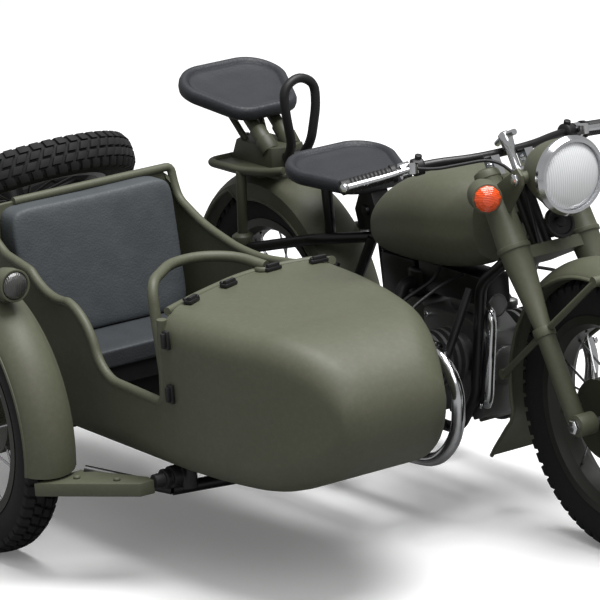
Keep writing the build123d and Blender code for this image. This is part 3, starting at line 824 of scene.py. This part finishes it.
for side in (1, -1):
    chrome.turned((-11, side * 4, rackZ + 2.2), zAxis, ((0, 1.1), (0.8, 1.1), (1.1, 0.6)), 6)
# the rack in the darker copy of the olive paint, as painted shade under the saddle
makePiece("rearRack", rack, "olive_paint", shadedOlivePaint, bevel=0.2, replaced="pillion_bracket")
makePiece("rackBolts", chrome, "bright_metal", bevel=0.1)

loop.tube(acrossMiddle([(loopX, loopHalf, loopTop - 2), (loopX, loopHalf, postTop + 12),
                        (loopX - 1, 3, postTop + 2.5), (9.5, 2.4, postTop - 1.5)],
                       (loopX, 0, loopTop + 0.6)), 1.25, 5.5)
loop.rod((9.5, -3.4, postTop - 1.5), (9.5, 3.4, postTop - 1.5), 1.2)
loop.block((8.3, 0, postTop - 1.8), (2.8, 5, 2.4))
makePiece("grabLoop", loop, "black_rubber", sharp=50)
print("saddle carriers")


# fork legs with headlamp ears and indicators

legProfile = (  # height along the leg, radius
    (-1.6, 1.65), (-0.6, 2.35), (23.3, 2.35), (23.3, 2.75), (25.6, 2.75), (25.6, 2.1),
    (yokeLow - 1.5, 3.75), (yokeLow + 1.4, 3.75), (yokeLow + 1.5, 4.25),
    (yokeLow + 2.6, 4.25), (yokeLow + 2.7, 3.95), (yokeTop - 1.2, 3.35),
    (yokeTop + 1.2, 3.2), (yokeTop + 1.3, 3.4), (yokeTop + 3.1, 3.1), (yokeTop + 3.7, 2))
lampPivot = (20.25 - 6 * math.cos(leanAngle), 57.2 + 6 * math.sin(leanAngle))
lenses, trim = Form(), Form()
for name, side in (("left", 1), ("right", -1)):
    foot = steered(legX, side * forkHalf, 0)
    outward = unit((1, side * 0.42, 0))
    face = steered(12, side * 18.6, 57.8)
    back = face - 8.5 * outward
    leg = Form()
    leg.turned(foot, steerUp, legProfile)
    leg.rod(foot, steered(axleReach, side * forkHalf, 0), 2.35)
    leg.turned(frontHub + (0, side * (forkHalf - 2.4), 0), (0, side, 0), ((0, 2.75), (4.8, 2.75)))
    leg.turned(back, outward, ((0, 1.5), (0.6, 2.6), (2, 3.5), (4, 3.9), (7.7, indicatorRadius),
                               (8.5, indicatorRadius), (8.6, indicatorRadius - 0.5)))
    leg.rod(steered(legX, side * forkHalf, 59.3), back + 4.2 * outward, 1.7)
    ear = [(legX, 52.7), (legX - 0.9, 61), (legX + 1, 61.8), (lampPivot[0] + 1.6, lampPivot[1] + 2.3),
           (lampPivot[0] + 2.4, lampPivot[1]), (lampPivot[0] + 1.2, lampPivot[1] - 2.1)]
    leg.plate(ear, steered(0, side * 10.35, 0), steerOut, steerUp, 0.9)
    makePiece("fork" + name.title(), leg, "olive_paint", bevel=0.18, replaced="fork_" + name, body="steering")
    lenses.turned(face + 0.05 * outward, outward,
                  ((0, 3.3), (0.6, 3.25), (1.3, 2.6), (1.9, 1.5), (2.1, 0.4)), 12)
    trim.turned(steered(lampPivot[0], side * 10.7, lampPivot[1]), (0, side, 0),
                ((0, 1.5), (1, 1.5), (1.3, 1)), 6)
    trim.turned(frontHub + (0, side * (forkHalf + 2.4), 0), (0, side, 0),
                ((0, 1.9), (1.2, 1.9), (1.6, 1.3)), 6)
makePiece("indicatorLenses", lenses, "lens_clear", amberLens, sharp=12, body="steering")
makePiece("steeringTrim", trim, "bright_metal", bevel=0.1, body="steering")


# handlebar, grips, levers, switches, damper and horn

controls = {
    "bar": 1.1,  # mm, radii
    "lever": 0.75,
    "cable": 0.42,
    "grip": 13.6,  # length
    "gripRibs": 11,
    "leverPerch": 16.2,  # in from the bar's end
    "switch": 19.6,
}
barRun = [(-2, 8.5, 71.2), (-4.8, 19.5, 73.2), (-12, 41, 73.8)]  # beside the steering axis
bar = Form().tube([steered(*p) for p in acrossMiddle(barRun)], controls["bar"], 6)
makePiece("handlebarTube", bar, "black_paint", replaced="handlebar", body="steering")
bend, tip = np.array(barRun[1]), np.array(barRun[2])
along = unit(tip - bend)
perch = tip - along * controls["leverPerch"]
levers, switches, cables = Form(), Form(), Form()
for name, side in (("left", 1), ("right", -1)):
    mirrored = np.array([1, side, 1])
    end = steered(*(tip * mirrored))
    way = unit(end - steered(*(bend * mirrored)))
    ribs = [(0, 2.25), (1, 2.25), (1, 1.8)]
    for i in range(controls["gripRibs"]):
        ribs += [(1.5 + i, 1.72), (1.8 + i, 1.92), (2.2 + i, 1.92)]
    ribs += [(13, 1.9), (13.8, 1.9), (14.2, 1.3)]
    grip = Form().turned(end - controls["grip"] * way, way, ribs, 28)
    makePiece("grip" + name.title(), grip, "black_rubber", sharp=50, replaced="grip_" + name, body="steering")
    perchAt = steered(*(perch * mirrored))
    pivot = steered(perch[0] + 3.6, side * perch[1], perch[2] - 0.8)
    elbow = steered(perch[0] + 2.4, side * (perch[1] + 6), perch[2] - 1)
    ball = steered(tip[0] + 3.6, side * (tip[1] + 1.6), tip[2] - 0.9)
    levers.turned(perchAt - 1.2 * way, way, ((0, 2), (2.4, 2)))
    levers.rod(perchAt, pivot, 1.1)
    levers.rod(pivot - (0, 0, 1.1), pivot + (0, 0, 1.1), 1.4)
    levers.tube([pivot, elbow, ball], controls["lever"], 4)
    levers.turned(ball - 1.15 * way, way, [(1.15 - 1.15 * math.cos(a), 1.15 * math.sin(a) + 0.02)
                                           for a in np.linspace(0, np.pi, 9)])
    switchAt = steered(*((tip - along * controls["switch"]) * mirrored))
    switches.turned(switchAt - 1.5 * way, way, ((0, 1.6), (0.4, 2.2), (2.8, 2.2), (3.2, 1.6)))
    switches.rod(switchAt + (0, 0, 1), switchAt + (0.6, 0, 3), 0.9, 10)
    cables.tube([pivot, pivot + (3.5, -side * 4, -0.5), steered(7.5, side * 9, 68),
                 steered(9, side * 5, 60), steered(5.5, side * 4.6, yokeLow + 1.5)],
                controls["cable"], 9, 8)
makePiece("levers", levers, "bright_metal", sharp=50, body="steering")
makePiece("barSwitches", switches, "black_rubber", bevel=0.1, body="steering")
makePiece("controlCables", cables, "black_rubber", sharp=60, body="steering")

damperFoot = steered(1, 0, yokeTop + 1.2)
damper = Form().turned(damperFoot, steerUp, (
    (0, 2.4), (1.2, 2.4), (1.8, 1.1), (6, 1.1), (6.8, 1.5), (9.6, 1.8), (10.6, 1.7), (11.2, 0.9)))
damper.tube([damperFoot + 9.6 * steerUp - 4.4 * steerOut, damperFoot + 10.2 * steerUp,
             damperFoot + 9.6 * steerUp + 4.4 * steerOut], 0.8, 2)
makePiece("steeringDamper", damper, "bright_metal", sharp=50, body="steering")

horn = Form().turned(steered(7.8, 0, yokeLow + 4.4), steerOut, (
    (0, 2.2), (0.9, 3.4), (1.9, 4), (3, 4), (3, 3.3), (2.6, 3), (2.6, 1.4), (3.3, 1.2), (3.3, 0.3)))
horn.rod(steered(5, 0, yokeLow + 3), steered(8.2, 0, yokeLow + 4.4), 1.1)
makePiece("horn", horn, "black_rubber", bevel=0.1, body="steering")
print("steering")


# mudguards: arched strips turned about the wheels

guards = {
    "wall": 0.8,  # mm
    "bead": 0.55,  # radius of the rolled edge
    "step": 2,  # degrees from section to section
    "frontHalf": 7,
    "rearHalf": 7.4,
    "sidecarHalf": 7,
}


def guardSection(hub, angle, radius, half, drop, skirt):
    wall, shoulder = guards["wall"], radius - drop
    outer = arc((-half, shoulder), (0, radius), (half, shoulder), 13)
    inner = arc((half - wall, shoulder), (0, radius - wall), (wall - half, shoulder), 13)
    edge = shoulder - skirt
    loop = joinedLine([(-half, edge)], outer, [(half, edge), (half - wall, edge)], inner,
                      [(wall - half, edge)])
    ray = np.array([math.cos(math.radians(angle)), 0, math.sin(math.radians(angle))])
    return np.asarray(hub) + loop[:, 1:] * ray + loop[:, :1] * np.array(yAxis)


def guardPiece(name, node, body, hub, half, stages, form):
    # stages: angle, radius, drop at the shoulders, depth of the skirts
    stages = np.array(stages, float)
    angles = np.arange(stages[0, 0], stages[-1, 0] + 0.1, guards["step"])
    radii, drops, skirts = (np.interp(angles, stages[:, 0], stages[:, c]) for c in (1, 2, 3))
    form.rings([guardSection(hub, a, r, half, d, s) for a, r, d, s in zip(angles, radii, drops, skirts)])
    edges = radii - drops - skirts
    for side in (1, -1):
        form.sweep([around(hub, a, r, side * (half - 0.3)) for a, r in zip(angles, edges)], guards["bead"], 8)
    makePiece(name, form, "olive_paint", sharp=45, replaced=node, body=body)


stays = Form()
for side in (1, -1):
    clamp = steered(legX, side * forkHalf, 24.4)
    for angle in (82, 172):
        lug = around(frontHub, angle, guardRadius - 2.7, side * 7.9)
        stays.rod(clamp + unit(lug - clamp) * 2.9, lug, 0.85, 10)
        stays.rod(lug - (0, side * 1.4, 0), lug + (0, side * 0.8, 0), 1.3)
guardPiece("frontMudguard", "front_mudguard", "steering", frontHub, guards["frontHalf"],
           ((28, guardRadius, 3.4, 0.3), (188, guardRadius, 3.4, 0.3), (192, guardRadius + 0.9, 2.8, 0.2),
            (197, guardRadius + 5, 1.6, 0.1), (202, 50.5, 1.2, 0.1)), stays)
guardPiece("rearMudguard", "rear_mudguard", "outfit", rearHub, guards["rearHalf"],
           ((-8, guardRadius, 3.2, 4.4), (108, guardRadius, 3.2, 4.4), (114, guardRadius, 3.2, 0.8),
            (190, guardRadius, 3.2, 0.8)), Form())
guardPiece("sidecarMudguard", "sidecar_mudguard", "outfit", sideHub, guards["sidecarHalf"],
           ((-10.5, guardRadius + 1, 4, 0.3), (196, guardRadius + 1, 4, 0.3)), Form())
print("mudguards")


# sidecar fittings: hoop, hooks, lamp, step plate

fittings = {
    "hoop": 1.35,  # mm, radius
    "lampAngle": 59.7,  # degrees over the sidecar wheel
    "lampRise": 6.2,  # mm above the mudguard's own line
    "stepTop": 26.6,
    "stepElbow": 82.5,  # x where the step meets the frame
}
hoopLine = [(9.3, -25.5, -28.8), (3.5, -24.5, 4.4), (-8.7, -11.5, 4.6), (-10.2, -2, 4.2), (-5.8, 6, 3.2),
            (2.2, 9, 1.5)]
hoop = Form().tube(np.add((coamingX, bodyY, deckZ), hoopLine), fittings["hoop"], 5)
hoop.turned((coamingX + 1.4, bodyY + 8.6, deckZ + 0.5), zAxis, ((0, 2), (0.7, 2), (1, 1.5)), 20)
makePiece("cockpitHoop", hoop, "olive_paint", sharp=60, replaced="cockpit_hoop")

hooks = Form()
for forward, y, turn in ((12, -81.5, 30), (6.8, -67.7, 20), (2.9, -52.6, 5), (5.4, -40.6, -8)):
    x = coamingX + forward
    deck = deckZ + 1 - max(0, x - 62) * 2.5 / (noseX - 88.5)
    spot = np.array([x, y, deck + 0.55])
    hooks.block(spot, (2.2, 4.6, 0.9), turn)
    hooks.block(spot + (0.4, 0, 0.75), (1.1, 3.6, 1.1), turn)
    for shift in (-1.7, 1.7):
        hooks.turned(spot + (-0.3, shift, 0.3), zAxis, ((0, 0.6), (0.5, 0.6), (0.75, 0.3)), 12)
for x, z in ((coamingX + 17, deckZ - 6.2), (coamingX + 16.8, deckZ - 19.6)):
    spot = np.array([x, nearY - 0.45, z])
    hooks.block(spot, (2.2, 0.9, 4.6))
    hooks.block(spot + (0.05, -0.8, 0), (1.1, 1.1, 3.6))
makePiece("coverHooks", hooks, "black_rubber", bevel=0.2)

sideLamp = around(sideHub, fittings["lampAngle"], guardRadius + fittings["lampRise"])
lamp = Form().turned(sideLamp - (4.6, 0, 0), xAxis, (
    (0, 1.2), (0.7, 2.5), (2.4, 3.6), (5, 4), (8.4, 4.1), (8.4, 3.5), (7.6, 3.5)))
lamp.rod(sideHub + (guardRadius + 1) * unit(sideLamp - sideHub), sideLamp, 1.5)
makePiece("sidecarLamp", lamp, "olive_paint", bevel=0.15)
glass = Form().turned(sideLamp + (3.2, 0, 0), xAxis, ((0, 3.4), (0.7, 3.3), (1.4, 2.4), (1.8, 0.8)))
makePiece("sidecarLampGlass", glass, "lens_clear", greyLens, sharp=60)

elbowX, stepTop = fittings["stepElbow"], fittings["stepTop"]
frontEdge = sideHub[0] + tyreRadius + 2
step = Form().plate(((frontEdge, -115.6), (elbowX, -97.6), (elbowX + 0.2, -93.5), (elbowX - 3.4, -93),
                     (frontEdge - 1.2, -101.6)), (0, 0, stepTop - 1.7), xAxis, yAxis, 3.4)
for share in (0.25, 0.75):
    step.turned((frontEdge + share * (elbowX - frontEdge - 2), -109 + share * 12, stepTop), zAxis,
                ((0, 0.9), (0.5, 0.9), (0.8, 0.5)), 12)
makePiece("stepPlate", step, "olive_paint", bevel=0.6)
bush = Form().turned((elbowX, -93.6, 26.2), yAxis, (
    (0, 1.7), (2.6, 1.7), (2.6, 2.4), (3.6, 2.4), (3.6, 1.9), (4.6, 1.9), (4.6, 2.7), (7, 2.7)))
makePiece("stepBush", bush, "black_rubber", bevel=0.15)


# engine: rounded case, carburettors, air cleaner, pipes and bolts

engine = {
    "crank": (90, 0, tyreRadius + 6.5),  # mm; what follows is placed from the crankshaft
    "half": 5.65,
    "ribs": 7,  # under the sump
    "hose": 1.7,  # radii
    "fuelPipe": 0.5,
    "sparkLead": 0.45,
}
crank, caseHalf = np.array(engine["crank"]), engine["half"]
block = [(-17, 0), (-17, -17), (5.5, -17), (9.5, -9), (9.5, 5), (3, 9), (-17, 9), (-17, 0)]
gearbox = [(-17.4, 0), (-17.4, 10), (-23, 10), (-35.5, 4), (-35.5, -8), (-31.5, -11), (-17.4, -11),
           (-17.4, 0)]
case = Form().plate(rounded(block, 2.2)[:-1], crank, xAxis, zAxis, 2 * caseHalf)
case.plate(rounded(gearbox, 2)[:-1], crank, xAxis, zAxis, 2 * caseHalf - 1)
case.turned(crank + (9, 0, -3), xAxis, ((0, 5.4), (1.6, 5), (2.2, 3.4)))
case.turned(crank + (-8, 0, 12.2), xAxis, (
    (0, 3), (1, 4.2), (13, 4.2), (13, 3.6), (15.5, 3.4), (16.4, 2.4)))
for i in range(engine["ribs"]):
    case.block(crank + (2.6 * i - 12, 0, -17.2), (0.9, 2 * caseHalf - 1.6, 1.6))
makePiece("engineCase", case, "engine_metal", bevel=0.35, replaced="engine_case")

cleaner = Form().turned(crank + (-21.5, 0, 10), zAxis, (
    (0, 3.2), (1, 3.2), (1, 5.4), (7, 5.4), (7.8, 4.6), (8.4, 1.2)))
makePiece("airCleaner", cleaner, "black_paint", bevel=0.2)
carbs, hoses, bolts = Form(), Form(), Form()
for side in (1, -1):
    throat = crank + (-7.2, side * 17.2, 1)
    carbs.turned(throat, (-1, 0, 0), ((0, 2.2), (1, 2.2), (1, 1.5), (6.4, 1.5), (6.4, 2.1), (8.4, 2.1)))
    carbs.turned(throat + (-3.8, 0, -4.6), zAxis, (
        (0, 1.4), (0.5, 2.1), (3.6, 2.1), (3.6, 1.5), (8.6, 1.5), (8.6, 1.8), (10, 1.8), (10.6, 0.8)))
    hoses.tube([throat - (8.2, 0, 0), throat - (13, side * 2, 0), crank + (-21.5, side * 8, 14),
                crank + (-21.5, side * 4, 14)], engine["hose"], 5)
    hoses.tube([throat + (-3.8, 0, 5.8), throat + (-6, -side * 2, 11), (crank[0] - 10, side * 6, 58),
                (crank[0] - 8, side * 5, 62.5)], engine["fuelPipe"], 5, 8)
    hoses.tube(crank + sided([(2.5, 27, 7.5), (4, 24, 15), (2, 12, 19), (1, 5, 20)], side),
               engine["sparkLead"], 6, 8)
    for x, z in ((-4.6, -4.4), (4.6, -4.4), (-4.6, 4.4), (4.6, 4.4)):
        bolts.turned(crank + (x, side * 30.8, z), (0, side, 0), ((0, 0.95), (0.9, 0.95), (1.1, 0.6)), 6)
    carbs.turned(crank + (2.5, side * 27, 6.2), zAxis, ((0, 1.3), (1.6, 1.3), (1.6, 0.8), (3, 0.8)), 12)
makePiece("carburettors", carbs, "engine_metal", bevel=0.12)
makePiece("engineHoses", hoses, "black_rubber", sharp=60)
for x, z in ((-15, -14), (6, -13), (7, 3), (-15, 7), (-33, -6), (-26, 7)):
    for side in (1, -1):
        bolts.turned(crank + (x, side * (caseHalf - 0.1), z), (0, side, 0),
                     ((0, 0.8), (0.7, 0.8), (0.9, 0.5)), 6)
makePiece("engineBolts", bolts, "bright_metal", bevel=0.08)

box = Form().block((84, 0, 57), (28, 8.4, 8))
box.block((61, 0, 52), (15, 9, 17))
makePiece("underTankBox", box, "black_paint", bevel=0.6)


# footrests, bright tube, exhausts and tank cap

pegs = Form()
for side in (1, -1):
    ribs = [(0.8 * i + 0.4 * j, 1.75 - 0.25 * j) for i in range(10) for j in (0, 1)]
    pegs.rod((50, side * 8.9, 20.5), (50, side * 13, 20.5), 0.9)
    pegs.turned((50, side * 13, 20.5), (0, side, 0), ribs + [(8.4, 2.1), (9.2, 2.1)])
makePiece("footrests", pegs, "black_rubber", sharp=30)

shield = Form().tube([(96, -3, 54), (103.6, -5.6, 53), (102.6, -6.1, 44), (100.6, -6.4, 31),
                      (97.5, -5, 28.5)], 1.3, 4)
makePiece("frontShield", shield, "bright_metal", sharp=60)

exhaust = {
    "out": 20,  # mm from the middle line
    "low": 15.5,  # height of its level run
    "pipe": 1.75,  # radius
}
out, exhaustZ = exhaust["out"], exhaust["low"]
pipeRun = [(94, out, 46.4), (103, out + 0.4, 45), (108.4, out + 0.6, 38), (106.2, out, 26),
           (97, out, 17), (84, out, exhaustZ), (52, out, exhaustZ)]
for name, side in (("Left", 1), ("Right", -1)):
    pipe = Form().tube(sided(pipeRun, side), exhaust["pipe"], 8)
    pipe.turned((54.5, side * out, exhaustZ), (-1, 0, 0), (
        (0, 1.9), (4, 3), (38, 3), (43, 2.2), (46.4, 1.5)))
    pipe.turned((97.5, side * (out + 0.2), 46), (1, 0, -0.1), ((0, 2.5), (1.4, 2.5)), 20)
    makePiece("exhaust" + name, pipe, "bright_metal", sharp=50, replaced="exhaust_" + name.lower())

cap = Form().turned((76.7, 0, 81.2), zAxis, ((0, 3.2), (3.4, 3.2), (3.4, 3.9), (4.8, 3.9), (5.4, 3.2)))
makePiece("tankCap", cap, "olive_paint", bevel=0.2)
print("fittings")
